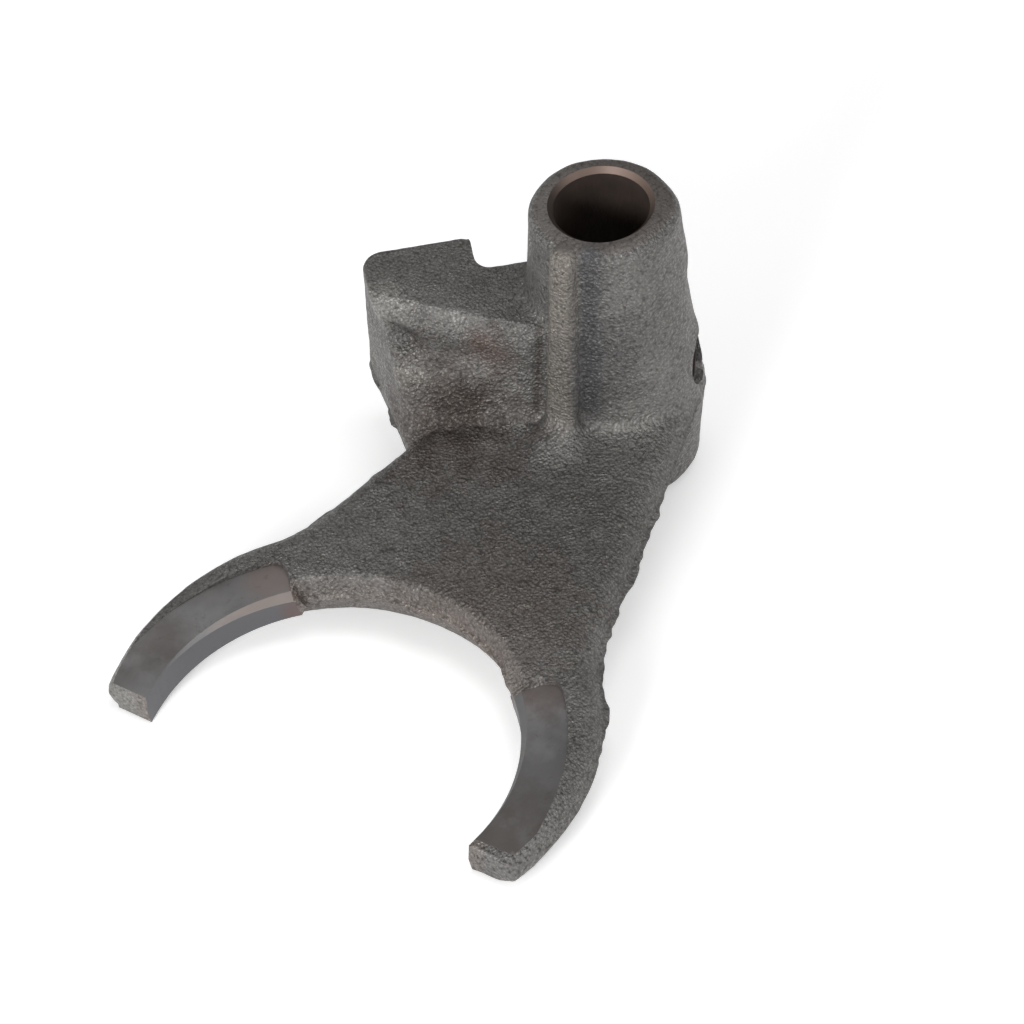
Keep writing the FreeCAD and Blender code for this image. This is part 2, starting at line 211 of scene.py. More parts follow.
# Crease between the block and the rib, where shade is painted
SHADED_CREASE_Y, SHADED_CREASE_HEIGHTS, SHADED_CREASE_X = -6.2, (8.0, 30.0), (21.5, 17.2)
SHADED_CREASE_FADE, SHADED_CREASE_FOOT_FADE = (1.3, 0.2), (7.5, 9.5)
# Burnished tips and dark pits of the grain: colours, and how full they are on the skin and in places; on the
# bulge and the block's lip more tips are laid as a painted sparkle
TIP_TONE, TIP_SHINE, PAINTED_SPARKLE_MORE = (182, 179, 173), (0.16, 0.05), 0.25
PIT_TONE, PIT_FULL = (44, 41, 39), (0.5, 0.7)
TOP_CALM, LEFT_CALM = 0.6, 0.7
SKIN_ROUGH, SKIN_METAL = (0.54, 0.32), 0.7

# Stains of the machined faces: place, radius, how full, colour
PAD_STAINS = (
    ((108.0, -44.0, 4.0), 9.0, 0.4, (80, 70, 62)),
    ((82.0, -31.0, 3.0), 9.0, 0.6, (136, 122, 117)),
    ((82.0, 31.0, 3.0), 9.0, 0.6, (100, 84, 79)),
    ((92.4, -42.4, 4.0), 5.0, 0.2, (84, 76, 70)),
    ((119.0, -44.0, 4.0), 7.0, 0.4, (94, 92, 90)),
    ((103.0, 43.0, 4.0), 24.0, 0.65, (90, 88, 88)),
    ((117.0, 42.0, 4.0), 15.0, 0.75, (84, 79, 76)),
)
WALL_STAINS = (((86.0, -26.6, 0.0), 4.0, 0.6, (104, 84, 78)),)
# Painted shade on the upright machined walls: colour, the range of the normal's upright share over which it
# comes in, and how full it is
WALL_SHADE_TONE, WALL_SHADE_SLOPES, WALL_SHADE_FULL = (88, 88, 92), (0.5, 0.2), 0.85
STREAK_TONE, STREAK_FULL = (80, 73, 68), 0.35
STREAK_SCALE, STREAK_BEND, STREAK_RANGE = 230.0, 1.5, (0.6, 0.72)
PAD_GRAIN_SCALE, PAD_GRAIN_STRENGTH, PAD_GRAIN_DEPTH = 1800.0, 0.12, 0.1
PAD_CLOUD_RANGE, PAD_ROUGH, PAD_METAL = (0.3, 0.7), (0.42, 0.55), 0.6

BORE_CLOUD_SCALE, BORE_ROUGH, BORE_METAL = 140.0, 0.5, 0.35

# Stains of the pads' chamfers, and the hub's chamfer with its near tone of painted shade and its far tone,
# brown with painted light
CHAMFER_STAINS = (((85.0, -30.0, 2.0), 19.0, 0.7, (150, 139, 133)),)
HUB_NEAR_SHADE, HUB_FAR_LIT, HUB_HEIGHTS = (66, 57, 52), (120, 103, 94), (10.0, 20.0)
HUB_FAR_FADE, HUB_FAR_TURN = (1.0, -9.0), 0.15
CHAMFER_ROUGH, CHAMFER_METAL = 0.45, 0.6

# Floor: its upright direction, the point of the hub's lower rim on it, and the gap below that point
FLOOR_UP, FLOOR_TOUCH, FLOOR_GAP = Vector((-0.14489, -0.00329, 0.98944)), Vector((17.3, 0.0, HUB_LOW)), 0.05
FLOOR_HALF_METRES = 2.5
FLOOR_GREY, FLOOR_ROUGH = 0.9, 0.9
WHITE = (1.0, 1.0, 1.0, 1.0)
# Lamps, each named as the setting of its power: azimuth, elevation, and in metres its size
LAMPS = (
    ("front", 6.0, 30.0, 0.35),
    ("top", 140.0, 80.0, 0.6),
    ("right", 95.0, 20.0, 0.7),
    ("left", -28.0, 19.0, 0.7),
)
LAMP_TARGET, LAMP_DISTANCE = Vector((50.0, 0.0, 5.0)), 1200.0
# Camera as fitted to the photograph: its place and directions, and its focal length in pixels of the picture
CAMERA_PLACE = Vector((462.94, 305.10, 602.25))
CAMERA_RIGHT, CAMERA_DOWN = Vector((-0.5169, 0.8531, -0.0714)), Vector((0.673, 0.3535, -0.6497))
CAMERA_AHEAD = Vector((-0.529, -0.3839, -0.7568))
FOCAL_PIXELS, PICTURE_PIXELS, SENSOR = 3800.0, 1024.0, 36.0
CLIP_METRES = (0.01, 20.0)


def linear(r, g, b):
    """A display colour of 0 to 255 per channel as the linear colour that shaders use."""
    out = []
    for c in (r, g, b):
        c /= 255.0
        out.append(c / 12.92 if c <= 0.04045 else ((c + 0.055) / 1.055) ** 2.4)
    return (*out, 1.0)


class Nodes:
    """Short way to add and join shader nodes in one tree."""

    def __init__(self, tree):
        self.tree = tree
        self.count = 0

    def add(self, kind, inputs=None, **settings):
        """Add a node; each input is a socket to link or a value to set."""
        node = self.tree.nodes.new(kind)
        node.location = (220 * (self.count % 8), -260 * (self.count // 8))
        self.count += 1
        for key, value in settings.items():
            setattr(node, key, value)
        for key, value in (inputs or {}).items():
            self.put(value, node.inputs[key])
        return node

    def put(self, value, socket):
        """Link a socket to an input, or set the input to a value."""
        if isinstance(value, bpy.types.NodeSocket):
            self.tree.links.new(value, socket)
        else:
            socket.default_value = value

    def math(self, operation, a, b=0.5):
        return self.add("ShaderNodeMath", {0: a, 1: b}, operation=operation).outputs[0]

    def vector(self, operation, a, b, output):
        return self.add("ShaderNodeVectorMath", {0: a, 1: b}, operation=operation).outputs[output]

    def ramp(self, value, low, high, out_low=0.0, out_high=1.0):
        """Map a range of values to another, clamped at both ends."""
        return self.add("ShaderNodeMapRange", {0: value, 1: low, 2: high, 3: out_low, 4: out_high},
                        clamp=True).outputs[0]

    def fade(self, value, ends):
        """Mask that goes from 0 to 1 between two places given in millimetres."""
        return self.ramp(value, ends[0] * MM, ends[1] * MM)

    def noise(self, vector, scale, detail, rough, distortion=0.0):
        return self.add("ShaderNodeTexNoise", {"Vector": vector, "Scale": scale, "Detail": detail,
                                               "Roughness": rough, "Distortion": distortion}).outputs[0]

    def mix(self, factor, a, b):
        return self.add("ShaderNodeMix", {0: factor, 6: a, 7: b}, data_type="RGBA").outputs[2]

    def group(self, name, place):
        """Place one of the shared groups on a point of the surface."""
        return self.add("ShaderNodeGroup", {"Vector": place}, node_tree=bpy.data.node_groups[name])


def new_group(name, sockets_in, sockets_out):
    """Empty shader group with its inputs, as name to kind, and its outputs, all floats."""
    group = bpy.data.node_groups.new(name, "ShaderNodeTree")
    for label, kind in sockets_in.items():
        group.interface.new_socket(label, in_out="INPUT", socket_type=kind)
    for label in sockets_out:
        group.interface.new_socket(label, in_out="OUTPUT", socket_type="NodeSocketFloat")
    n = Nodes(group)
    return n, n.add("NodeGroupInput").outputs, n.add("NodeGroupOutput").inputs


def cast_grain_group():
    """Shot-blasted grain: a height for bump, burnished tips and dark pits."""
    n, source, out = new_group("Cast grain", {"Vector": "NodeSocketVector"}, ("Height", "Tips", "Pits"))
    vector = source["Vector"]
    medium = n.noise(vector, GRAIN_MEDIUM, 2.0, 0.5)
    fine = n.noise(vector, GRAIN_FINE, 2.0, 0.6)
    bend = n.add("ShaderNodeTexNoise", {"Vector": vector, "Scale": GRAIN_BEND, "Detail": 1.0}).outputs[1]
    bent = n.add("ShaderNodeMix", {0: BEND_SHARE, 4: vector, 5: bend}, data_type="VECTOR").outputs[1]
    cells = n.add("ShaderNodeTexVoronoi", {"Vector": bent, "Scale": GRAIN_CELLS}).outputs["Distance"]
    dome = n.math("SUBTRACT", 1.0, cells)
    total = n.math("ADD", n.math("MULTIPLY", dome, CELL_SHARE), n.math("MULTIPLY", medium, MEDIUM_SHARE))
    total = n.math("ADD", total, n.math("MULTIPLY", fine, FINE_SHARE))
    clumps = n.ramp(n.noise(vector, GRAIN_CLUMPS, 2.0, 0.5), *CLUMP_RANGE, *CLUMP_HEIGHTS)
    n.put(n.math("MULTIPLY", total, clumps), out["Height"])
    n.put(n.ramp(total, *TIPS_RANGE), out["Tips"])
    n.put(n.ramp(total, *PITS_RANGE), out["Pits"])


def patches_group():
    """Soft clouds over the whole part, and a mask that is full near one spot and fades out raggedly."""
    n, source, out = new_group(
        "Patches", {"Vector": "NodeSocketVector", "Spot": "NodeSocketVector", "Radius": "NodeSocketFloat"},
        ("Mask", "Cloud"))
    vector = source["Vector"]
    away = n.math("DIVIDE", n.vector("DISTANCE", vector, source["Spot"], "Value"), source["Radius"])
    ragged = n.math("SUBTRACT", n.noise(vector, RAGGED_SCALE, 4.0, 0.65), 0.5)
    edge = n.math("ADD", away, n.math("MULTIPLY", ragged, RAGGED_SHARE))
    n.put(n.ramp(edge, *SPOT_RANGE), out["Mask"])
    n.put(n.noise(vector, CLOUD_SCALE, 4.0, 0.6), out["Cloud"])


def new_material(name):
    """Empty material with its nodes and the Object coordinates that its patterns read."""
    material = bpy.data.materials.new(name)
    material.use_nodes = True
    n = Nodes(material.node_tree)
    return material, n, n.add("ShaderNodeTexCoord").outputs["Object"]


def principled(n, colour, roughness, metallic=0.0, normal=None, specular=0.5):
    """Set the material's own shader."""
    shader = n.tree.nodes["Principled BSDF"]
    for key, value in (("Base Color", colour), ("Roughness", roughness), ("Metallic", metallic),
                       ("Specular IOR Level", specular), ("Normal", normal)):
        if value is not None:
            n.put(value, shader.inputs[key])
    return shader


def spot_mask(n, place, spot, radius):
    """Mask of one ragged spot, placed in millimetres."""
    node = n.group("Patches", place)
    node.inputs["Spot"].default_value = [c * MM for c in spot]
    node.inputs["Radius"].default_value = radius * MM
    return node.outputs["Mask"]


def clouded(n, place, dark, light):
    """Two tones mixed by soft clouds, and the clouds themselves."""
    cloud = n.group("Patches", place).outputs["Cloud"]
    return n.mix(n.ramp(cloud, *CLOUD_RANGE), dark, light), cloud


def tint(n, base, mask, full, tone):
    """Lay a display colour over a base where a mask says."""
    return n.mix(n.math("MULTIPLY", mask, full), base, linear(*tone))


def stained(n, place, base, stains):
    """Lay a list of ragged stains over a base."""
    for spot, radius, full, tone in stains:
        base = tint(n, base, spot_mask(n, place, spot, radius), full, tone)
    return base


def skin_masks(n, place):
    """Masks of the cast skin's spots, hub top, rib, tines and the crease with painted shade, by name."""
    masks = {name: spot_mask(n, place, spot, radius) for name, (spot, radius) in SKIN_SPOTS.items()}
    x, y, z = n.add("ShaderNodeSeparateXYZ", {0: place}).outputs
    top = n.fade(z, TOP_FADE)
    to_left = n.vector("DOT_PRODUCT", place, TOP_LEFT_WAY, "Value")
    on_tine = n.fade(x, TINE_FADE)
    right = n.math("MULTIPLY", on_tine, n.fade(y, RIGHT_FADE))
    left = n.math("MULTIPLY", n.math("SUBTRACT", on_tine, right), n.fade(x, LEFT_TIP_FADE))
    level = n.vector("MULTIPLY", place, (1.0, 1.0, 0.0), "Vector")
    reach = n.vector("DISTANCE", level, (SLEEVE_X * MM, 0.0, 0.0), "Value")
    masks["hub_top"] = top
    masks["hub_top_left"] = n.math("MULTIPLY", top, n.fade(to_left, TOP_LEFT_FADE))
    masks["left_tine"] = left
    masks["beside_pad"] = n.math("MULTIPLY", right, n.fade(reach, BESIDE_PAD_FADE))
    masks["lit_arc_wall"] = n.fade(reach, LIT_ARC_WALL_FADE)

    above_web = n.fade(z, ABOVE_WEB_FADE)
    # Painted light on the rib's face and painted shade on its flank
    for name, middle, fade, front in (("rib", RIB_Y, RIB_FADE, RIB_FRONT_FADE),
                                      ("shaded_rib_flank", FLANK_Y, FLANK_FADE, FLANK_FRONT_FADE)):
        off = n.math("ABSOLUTE", n.math("SUBTRACT", y, middle * MM))
        masks[name] = n.math("MULTIPLY", n.fade(off, fade), n.math("MULTIPLY", above_web, n.fade(x, front)))

    # Painted shade along the crease between the block and the rib
    shaded_crease_x = n.ramp(z, *(c * MM for c in SHADED_CREASE_HEIGHTS), *(c * MM for c in SHADED_CREASE_X))
    shaded_crease = n.add("ShaderNodeCombineXYZ", {"X": shaded_crease_x, "Y": SHADED_CREASE_Y * MM, "Z": z}).outputs[0]
    off = n.vector("DISTANCE", place, shaded_crease, "Value")
    masks["shaded_crease"] = n.math("MULTIPLY", n.fade(off, SHADED_CREASE_FADE), n.fade(z, SHADED_CREASE_FOOT_FADE))
    return masks


def cast_material(settings):
    """Dark grey shot-blasted iron with brown stains where the block meets the web, there also darker as
    painted shade; painted shade in the dent, in the crease by the rib, on the rib's flank and on the hub
    beside it; painted highlights on the fillet, the rib's face, the bulge, the block's lip, the left tine's
    end and the web's arc.
    """
    material, n, place = new_material("cast_iron_skin")
    grain = n.group("Cast grain", place).outputs
    masks = skin_masks(n, place)
    base, _ = clouded(n, place, settings.skin_dark, settings.skin_light)
    for name, full, tone in SKIN_TONES:
        base = tint(n, base, masks[name], full, tone)
    # More burnished tips on the bulge and the block's lip: a painted sparkle
    painted_sparkle = n.math("MULTIPLY", n.math("MAXIMUM", masks["bulge_highlight"], masks["lip_highlight"]), PAINTED_SPARKLE_MORE)
    tips_and_sparkle = n.math("ADD", n.ramp(masks["hub_top"], 0.0, 1.0, *TIP_SHINE), painted_sparkle)
    base = tint(n, base, grain["Tips"], tips_and_sparkle, TIP_TONE)
    base = tint(n, base, grain["Pits"], n.ramp(masks["beside_pad"], 0.0, 1.0, *PIT_FULL), PIT_TONE)
    calm = n.math("MAXIMUM", n.math("MULTIPLY", masks["hub_top"], TOP_CALM),
                  n.math("MULTIPLY", masks["left_tine"], LEFT_CALM))
    bump = n.add("ShaderNodeBump", {"Height": grain["Height"], "Strength": n.math("SUBTRACT", 1.0, calm),
                                    "Distance": settings.grain})
    principled(n, base, n.ramp(grain["Tips"], 0.0, 1.0, *SKIN_ROUGH), SKIN_METAL, bump.outputs[0])
    return material


def machined_material(settings):
    """Machined face: smooth grey iron with stains, darker towards the tips, and with painted shade on the
    upright walls.
    """
    material, n, place = new_material("machined_iron")
    base, cloud = clouded(n, place, settings.machined_dark, settings.machined_light)
    base = stained(n, place, base, PAD_STAINS)
    normal = n.add("ShaderNodeNewGeometry").outputs["Normal"]
    slope = n.math("ABSOLUTE", n.add("ShaderNodeSeparateXYZ", {0: normal}).outputs["Z"])
    # Painted shade on the upright walls
    base = tint(n, base, n.ramp(slope, *WALL_SHADE_SLOPES), WALL_SHADE_FULL, WALL_SHADE_TONE)
    base = stained(n, place, base, WALL_STAINS)
    streaks = n.ramp(n.noise(place, STREAK_SCALE, 3.0, 0.7, STREAK_BEND), *STREAK_RANGE)
    base = tint(n, base, streaks, STREAK_FULL, STREAK_TONE)
    bump = n.add("ShaderNodeBump", {"Height": n.noise(place, PAD_GRAIN_SCALE, 2.0, 0.6),
                                    "Strength": PAD_GRAIN_STRENGTH, "Distance": PAD_GRAIN_DEPTH * MM})
    principled(n, base, n.ramp(cloud, *PAD_CLOUD_RANGE, *PAD_ROUGH), PAD_METAL, bump.outputs[0])
    return material


def bore_material(settings):
    """Bored hole, dark, partly as painted shade of its depth."""
    material, n, place = new_material("bored_iron")
    base = n.mix(n.noise(place, BORE_CLOUD_SCALE, 4.0, 0.6), settings.bore_dark, settings.bore_light)
    principled(n, base, BORE_ROUGH, BORE_METAL)
    return material


def chamfer_material(settings):
    """Turned chamfers: bright on the pads; on the hub brown with painted light at its far side and dark with
    painted shade at its near side.
    """
    material, n, place = new_material("turned_chamfer")
    x, y, z = n.add("ShaderNodeSeparateXYZ", {0: place}).outputs
    far = n.fade(n.math("ADD", x, n.math("MULTIPLY", y, HUB_FAR_TURN)), HUB_FAR_FADE)
    base, _ = clouded(n, place, settings.chamfer_dark, settings.chamfer_light)
    base = stained(n, place, base, CHAMFER_STAINS)
    # Painted light on the hub chamfer's far side, painted shade on its near side
    base = n.mix(n.fade(z, HUB_HEIGHTS), base, n.mix(far, linear(*HUB_NEAR_SHADE), linear(*HUB_FAR_LIT)))
    principled(n, base, CHAMFER_ROUGH, CHAMFER_METAL)
    return material


def zone(centre, normal):
    """Which finish a face has, from where it lies and which way it faces."""
    slope = abs(normal.z)
    radius = hypot(centre.x, centre.y)
    if radius < BORE_R + BORE_CHAMFER + CLOSE:
        return CHAMFERED if radius > BORE_R + BORE_SLACK and slope > TILT_LOW else BORED
    outward = Vector((cos(radians(HOLE_AZIMUTH)), sin(radians(HOLE_AZIMUTH)), 0.0))
    reach = centre.dot(outward)
    off = hypot(centre.dot(Vector((-outward.y, outward.x, 0.0))), centre.z - HOLE_Z)
    if reach > HOLE_START and off < HOLE_R + HOLE_SLACK and abs(normal.dot(outward)) < HOLE_WALL:
        return BORED
    if off < SPOT_R + HOLE_SLACK and abs(reach - SPOT_FACE) < CLOSE:
        return MACHINED
    radius = hypot(centre.x - SLEEVE_X, centre.y)
    angle = abs(degrees(atan2(centre.y, centre.x - SLEEVE_X)))
    if angle < PAD_ARC + PAD_ARC_SLACK and radius < PAD_R + PAD_SLACK and slope < UPRIGHT:
        return MACHINED
    if angle >= PAD_ARC:
        return CAST
    if radius < PAD_R + PAD_CHAMFER_REACH and TILT_LOW < slope < TILT_HIGH and abs(centre.z) < PAD_HALF:
        return CHAMFERED
    on_face = slope > LEVEL and abs(abs(centre.z) - PAD_HALF) < CLOSE
    on_pad = on_face and radius < PAD_OUTER_R + PAD_OUTER_SLACK and not past_pad(centre)
    return MACHINED if on_pad else CAST


def past_pad(centre):
    """True beyond the rounded end that the machined face has near a tine's tip."""
    along = centre.x - (PAD_END_RIGHT if centre.y > 0.0 else PAD_END_LEFT) + PAD_END_ROUND
    across = abs(centre.y) - PAD_END_WIDE + PAD_END_ROUND
    if along > 0.0:
        return hypot(along, max(0.0, across)) > PAD_END_ROUND
    return across - PAD_END_ROUND > -PAD_END_DRAFT * along


def divide(bm, limit, wanted):
    """Halve every edge that is over a length and passes a test."""
    edges = [e for e in bm.edges if e.calc_length() > limit and wanted(e)]
    if edges:
        bmesh.ops.subdivide_edges(bm, edges=edges, cuts=1, use_grid_fill=False)
        bmesh.ops.triangulate(bm, faces=[f for f in bm.faces if len(f.verts) > 3])


def anywhere(edge):
    """True for any edge."""
    return True


def on_skin(edge):
    """True for an edge that touches the cast skin."""
    return any(f.material_index == CAST for f in edge.link_faces)


def near_tip(edge):
    """True for an edge near a tine's tip."""
    return all(v.co.x > TIP_X and abs(v.co.y) > TIP_Y for v in edge.verts)


def near_parting(edge):
    """True for an edge beside the mould's parting line, on an outside that stands nearly upright."""
    return all(abs(v.co.z) < PARTING_HALF and abs(v.normal.z) < PARTING_SLOPE for v in edge.verts)


def near_corner(edge):
    """True for an edge beside the notch's outer corner."""
    return all(from_corner(v.co).length < CORNER_DIVIDED * CORNER_R for v in edge.verts)


def from_corner(point):
    """Level way to a point from the upright edge between the block's back and its notch."""
    return point.xy - CORNER_FOOT.xy.lerp(CORNER_TOP.xy, point.z / CORNER_TOP.z)


def cast_verts(bm):
    """Vertices that touch cast skin only."""
    return [v for v in bm.verts if all(f.material_index == CAST for f in v.link_faces)]


def relax(bm, verts):
    """Move vertices half way to the middle of their neighbours."""
    bmesh.ops.smooth_vert(bm, verts=verts, factor=RELAX, use_axis_x=True, use_axis_y=True, use_axis_z=True)


def share(value):
    """Smooth step from 0 to 1."""
    value = max(0.0, min(1.0, value))
    return value * value * (3.0 - 2.0 * value)


def gap_to_line(point, start, end):
    """Distance from a point to the line between two others, which may be the same."""
    along = end - start
    t = (point - start).dot(along) / max(along.length_squared, 1e-9)
    return (point - start - along * max(0.0, min(1.0, t))).length


def soften(bm):
    """Round the hollow cast corners in front of the notch by relaxing the skin around them."""
    free = {v for v in cast_verts(bm) if v.co.dot(BLOCK_FRONT) > SOFT_BEHIND}
    found = set()
    for e in bm.edges:
        if len(e.link_faces) == 2 and not e.is_convex and e.calc_face_angle(0.0) > radians(SOFT_ANGLE):
            found.update(v for v in e.verts if v in free)
    for _ in range(SOFT_RINGS):
        found.update([e.other_vert(v) for v in found for e in v.link_edges if e.other_vert(v) in free])
    for _ in range(SOFT_ROUNDS):
        relax(bm, list(found))


def wear(bm):
    """Relax the cast skin around the worn corners, and swell or dent it where the photograph shows it."""
    for start, end, radius, rounds in WORN:
        gaps = [(gap_to_line(v.co, Vector(start), Vector(end)), v) for v in cast_verts(bm)]
        for i in range(rounds):
            reach = radius * (1.0 - WORN_NARROWS * i / rounds)
            relax(bm, [v for gap, v in gaps if gap < reach])
    bm.normal_update()
    for start, end, radius, height in UNEVEN:
        for v in cast_verts(bm):
            gap = gap_to_line(v.co, Vector(start), Vector(end))
            if gap < radius:
                v.co += v.normal * height * share(1.0 - gap / radius)


def round_corner(bm):
    """Wear the notch's outer corner round, by leading the square around it into a circle."""
    front = BLOCK_FRONT.xy
    along = Vector((front.y, -front.x))
    for v in cast_verts(bm):
        off = from_corner(v.co)
        a, b = off.dot(along) - CORNER_R, off.dot(front) - CORNER_R
        if -CORNER_MOVED * CORNER_R < min(a, b) and max(a, b) < 0.0:
            v.co.xy += (along * a + front * b) * (max(abs(a), abs(b)) / hypot(a, b) - 1.0)


def fill_root(bm):
    """Lead the web's arc into the right pad's bore without a notch."""
    axis = Vector((SLEEVE_X, 0.0))
    for v in cast_verts(bm):
        out = v.co.xy - axis
        excess = out.length - PAD_R - ROOT_CLEARANCE
        angle = degrees(atan2(out.y, out.x))
        if PAD_ARC - PAD_ARC_SLACK < angle < ROOT_ANGLE and 0.0 < excess < ROOT_DEPTH:
            amount = share((ROOT_ANGLE - angle) / ROOT_FADE) * (1.0 - share(abs(v.co.z) / ROOT_HALF))
            v.co.xy -= out.normalized() * excess * amount * ROOT_SHARE


def ease_left_step(bm):
    """Bring the left tine's cast edge nearer to the level of its pad, as it is worn there."""
    for v in cast_verts(bm):
        above = abs(v.co.z) - PAD_HALF
        if above > 0.0 and v.co.y < STEP_Y and v.co.x > STEP_X:
            v.co.z -= copysign(above * STEP_SHARE * share((v.co.x - STEP_X) / STEP_FADE), v.co.z)


def parting_line(bm):
    """Vertices near the mould's parting line, with their level way outwards times the flash's share there."""
    bm.normal_update()
    found = []
    for v in cast_verts(bm):
        flat = Vector((v.normal.x, v.normal.y, 0.0))
        if abs(v.co.z) < FLASH_HALF and flat.length > FLASH_TURN and v.co.x < FLASH_END:
            found.append((v, flat.normalized() * share(1.0 - abs(v.co.z) / FLASH_HALF)))
    return found


def raise_flash(line, height):
    """Wavy remains of the flash along the parting line."""
    for v, push in line:
        place = Vector((v.co.x, v.co.y, 0.0))
        wave = FLASH_MIDDLE
        for part, waves in (FLASH_LONG, FLASH_SHORT):
            wave += part * noise.noise(place * waves)
        past_hub = share((v.co.x - FLASH_HUB[0]) / FLASH_HUB[1])
        before_tines = share((FLASH_TINES[0] - v.co.x) / FLASH_TINES[1])
        calm = FLASH_CALM + (1.0 - FLASH_CALM) * past_hub * before_tines
        v.co += push * height * calm * max(FLASH_LEAST, min(1.0, wave))


def read_casting():
    """Copy of the casting's mesh, and its merged bmesh in millimetres with a finish for each face."""
    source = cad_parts[NODE]
    mesh = source.data.copy()
    bm = bmesh.new()
    bm.from_mesh(mesh)
    bm.transform(source.matrix_world)
    bmesh.ops.scale(bm, vec=(1 / MM,) * 3, verts=bm.verts)
    bmesh.ops.remove_doubles(bm, verts=bm.verts, dist=MERGE_GAP)
    bmesh.ops.triangulate(bm, faces=bm.faces)
    bmesh.ops.recalc_face_normals(bm, faces=bm.faces)
    for face in bm.faces:
        face.material_index = zone(face.calc_center_median(), face.normal)
        face.smooth = True
    return mesh, bm


def refine(bm):
    """Divide the casting finely enough for its skin, most at the parting line, the tips and the corner."""
    for limit in EDGE_LIMITS:
        for _ in range(EDGE_PASSES):
            divide(bm, limit, anywhere)
    flat = [e for e in bm.edges if len(e.link_faces) == 2 and e.calc_face_angle(0.0) < radians(FLAT_ANGLE)
            and e.link_faces[0].material_index == e.link_faces[1].material_index]
    bmesh.ops.beautify_fill(bm, faces=bm.faces, edges=flat, use_restrict_tag=False, method="ANGLE")
    divide(bm, SKIN_EDGE, on_skin)
    for limit in PARTING_EDGES:
        bm.normal_update()
        divide(bm, limit, near_parting)
    divide(bm, DETAIL_EDGE, near_tip)
    divide(bm, DETAIL_EDGE, near_corner)


def weather(bm, settings):
    """Wear the corners, make the skin uneven, leave the flash's remains, and stay inside the CAD box."""
    soften(bm)
    wear(bm)
    round_corner(bm)
    fill_root(bm)
    ease_left_step(bm)
    line = parting_line(bm)
    moves = []
    for v in cast_verts(bm):
        height = (noise.noise(v.co * SWELL_WAVES) * settings.swell
                  + noise.noise(v.co * LUMP_WAVES + LUMP_START) * settings.lumps)
        moves.append((v, v.normal * height / MM))
    for v, move in moves:
        v.co += move
    raise_flash(line, settings.flash / MM)
    low, high = (Vector([c / MM for c in corner]) for corner in CAD_BOX)
    for v in bm.verts:
        v.co = Vector([min(max(c, a), b) for c, a, b in zip(v.co, low, high)])


def make_casting(settings):
    """The casting with its skin, worn corners and flash, in place of the plain one."""
    mesh, bm = read_casting()
    refine(bm)
    weather(bm, settings)
    bmesh.ops.scale(bm, vec=(MM,) * 3, verts=bm.verts)
    for e in bm.edges:
        e.smooth = len(e.link_faces) == 2 and e.calc_face_angle(0.0) < radians(SHARP_ANGLE)
    mesh.materials.clear()
    for make in (cast_material, machined_material, bore_material, chamfer_material):
        mesh.materials.append(make(settings))
    bm.to_mesh(mesh)
    bm.free()
    piece = add_object("fork_casting", mesh)
    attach(piece, "root")
    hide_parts(NODE)


def add_object(name, data):
    """New object in the scene."""
    thing = bpy.data.objects.new(name, data)
    bpy.context.scene.collection.objects.link(thing)
    return thing


def make_floor(settings):
    """Pale floor under the hub's lower rim and the tines' ends, lifted to white for the camera."""
    bm = bmesh.new()
    bmesh.ops.create_grid(bm, x_segments=1, y_segments=1, size=FLOOR_HALF_METRES)
    mesh = bpy.data.meshes.new("floor")
    bm.to_mesh(mesh)
    bm.free()
    floor = add_object("floor", mesh)
    up = FLOOR_UP.normalized()
    turn = up.to_track_quat("Z", "Y").to_matrix().to_4x4()
    floor.matrix_world = Matrix.Translation((FLOOR_TOUCH - up * FLOOR_GAP) * MM) @ turn
    material, n, _ = new_material("pale_floor")
    shader = principled(n, (FLOOR_GREY, FLOOR_GREY, FLOOR_GREY, 1.0), FLOOR_ROUGH, specular=0.0)
    seen = n.add("ShaderNodeLightPath").outputs
    glow = n.math("MULTIPLY", n.math("MAXIMUM", seen["Is Camera Ray"], seen["Is Glossy Ray"]), settings.lift)
    n.put(WHITE, shader.inputs["Emission Color"])
    n.put(glow, shader.inputs["Emission Strength"])
    mesh.materials.append(material)


def make_light(settings):
    """Even studio light and four soft lamps around the part."""
    world = bpy.data.worlds.new("studio")
    bpy.context.scene.world = world
    world.use_nodes = True
    background = world.node_tree.nodes["Background"]
    background.inputs["Color"].default_value = WHITE
    background.inputs["Strength"].default_value = settings.sky
    for name, azimuth, elevation, size in LAMPS:
        data = bpy.data.lights.new(name, "AREA")
        data.shape = "DISK"
        data.size = size
        data.energy = getattr(settings, name)
        lamp = add_object(name, data)
        out = Vector((cos(radians(azimuth)) * cos(radians(elevation)),
                      sin(radians(azimuth)) * cos(radians(elevation)), sin(radians(elevation))))
        lamp.location = (LAMP_TARGET + out * LAMP_DISTANCE) * MM
        lamp.rotation_euler = out.to_track_quat("Z", "Y").to_euler()


def make_camera():
    """The photograph's camera."""
    data = bpy.data.cameras.new("camera")
    data.sensor_width = SENSOR
    data.lens = FOCAL_PIXELS / PICTURE_PIXELS * SENSOR
    data.clip_start, data.clip_end = CLIP_METRES
    camera = add_object("camera", data)
    turn = Matrix((CAMERA_RIGHT, -CAMERA_DOWN, -CAMERA_AHEAD)).transposed().to_4x4()
    camera.matrix_world = Matrix.Translation(CAMERA_PLACE * MM) @ turn
    bpy.context.scene.camera = camera
    bpy.context.scene.view_settings.view_transform = "Standard"


def colour_setting(name, description, r, g, b):
    """A colour that is set as a display colour of 0 to 255 per channel."""
    return bpy.props.FloatVectorProperty(name=name, description=description, default=linear(r, g, b), size=4,
                                         min=0.0, max=1.0, subtype="COLOR")


def length_setting(name, description, value):
    """A small length, with its default in millimetres."""
    return bpy.props.FloatProperty(name=name, description=description, default=value * MM, min=0.0,
                                   precision=6, unit="LENGTH")


